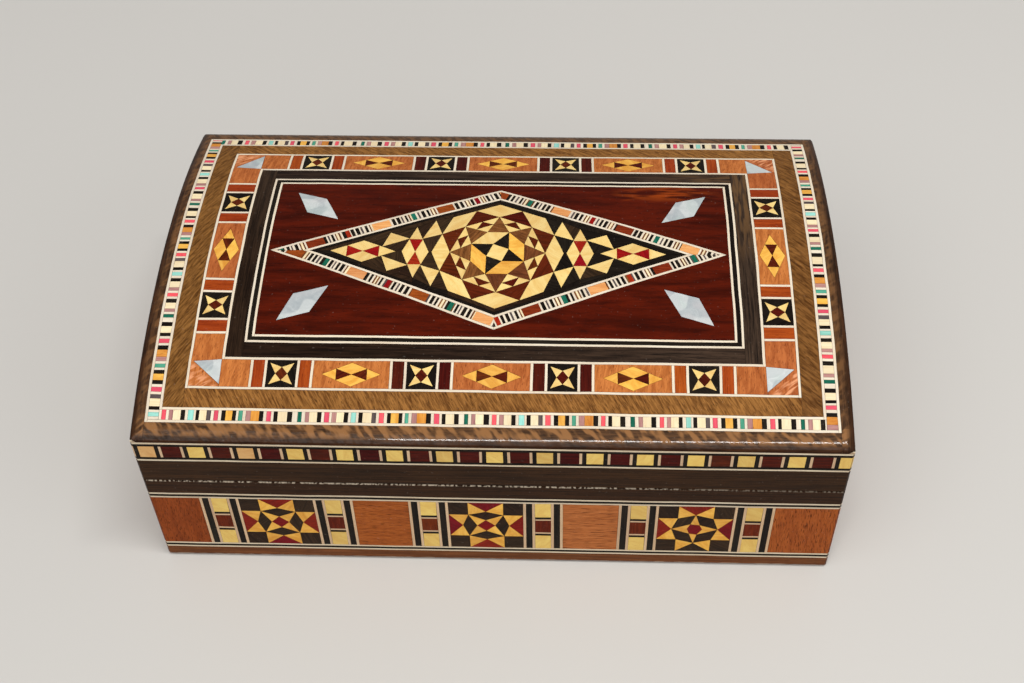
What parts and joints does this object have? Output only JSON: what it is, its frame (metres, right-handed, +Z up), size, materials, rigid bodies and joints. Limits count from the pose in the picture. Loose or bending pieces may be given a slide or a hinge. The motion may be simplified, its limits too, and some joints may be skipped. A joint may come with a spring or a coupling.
{
  "type": "inlaid box",
  "caption": "Rectangular wooden keepsake box with geometric marquetry and mother-of-pearl inlay and a domed lid on two butt hinges.",
  "frame": {"origin": "middle of the underside", "axes": "+X along the length, -Y to the front, where the lid opens, +Z up"},
  "size_m": [0.18, 0.114, 0.0625],
  "materials": {
    "core": "bare wood",
    "felt": "felt",
    "velvet": "velvet",
    "walnut": "lacquered",
    "walnut_light": "lacquered",
    "walnut_dark": "lacquered",
    "holly": "lacquered",
    "ebony": "lacquered",
    "ebony_grey": "lacquered",
    "pear": "lacquered",
    "boxwood": "lacquered",
    "gold_wood": "lacquered",
    "maroon": "lacquered",
    "red_wood": "lacquered",
    "padauk": "lacquered",
    "mahogany": "lacquered",
    "mosaic": "lacquered",
    "pearl": "polished mother-of-pearl",
    "brass": "polished"
  },
  "bodies": {
    "box": {"box_back_wall": "core", "box_dark_bars": "ebony", "box_dark_lines": "ebony", "box_felt": "felt", "box_floor": "core", "box_front_wall": "core", "box_left_wall": "core", "box_light_bars": "holly", "box_light_lines": "holly", "box_lining_floor": "velvet", "box_lining_walls": "velvet", "box_pear_panels": "pear", "box_plinth_band": "walnut_light", "box_red_cells": "maroon", "box_right_wall": "core", "box_rim_band": "walnut_dark", "box_star_ebony": "ebony", "box_star_gold": "gold_wood", "box_star_red": "red_wood", "box_yellow_cells": "boxwood", "hinge_box_leaves": "brass", "hinge_pins": "brass"},
    "lid": {"hinge_lid_leaves": "brass", "lid_back_wall": "core", "lid_brown_wedges": "maroon", "lid_cell_band": "mosaic", "lid_dark_lines": "ebony", "lid_dome_dark_lines": "ebony", "lid_dome_light_lines": "holly", "lid_ebony_border": "ebony_grey", "lid_edge_moulding": "walnut_dark", "lid_front_wall": "core", "lid_gold_lozenges": "gold_wood", "lid_left_wall": "core", "lid_light_lines": "holly", "lid_lining_top": "velvet", "lid_lining_walls": "velvet", "lid_lozenge_band": "mosaic", "lid_mahogany_field": "mahogany", "lid_padauk_bars": "padauk", "lid_panel": "core", "lid_pear_panels": "pear", "lid_pearl_corners": "pearl", "lid_pearl_lozenges": "pearl", "lid_red_cells": "maroon", "lid_right_wall": "core", "lid_rim_band": "walnut_dark", "lid_star_brown": "walnut", "lid_star_cream": "boxwood", "lid_star_gold": "gold_wood", "lid_star_ground": "ebony", "lid_star_maroon": "maroon", "lid_star_red": "red_wood", "lid_star_sparks": "boxwood", "lid_star_squares": "ebony", "lid_walnut_border": "walnut", "lid_yellow_cells": "boxwood"}
  },
  "joints": [
    {"name": "lid_hinge", "type": "hinge", "parent": "box", "child": "lid", "pos_m": [0, 0.055, 0.0357], "axis": [-1, 0, 0], "range_deg": [0, 105]}
  ]
}
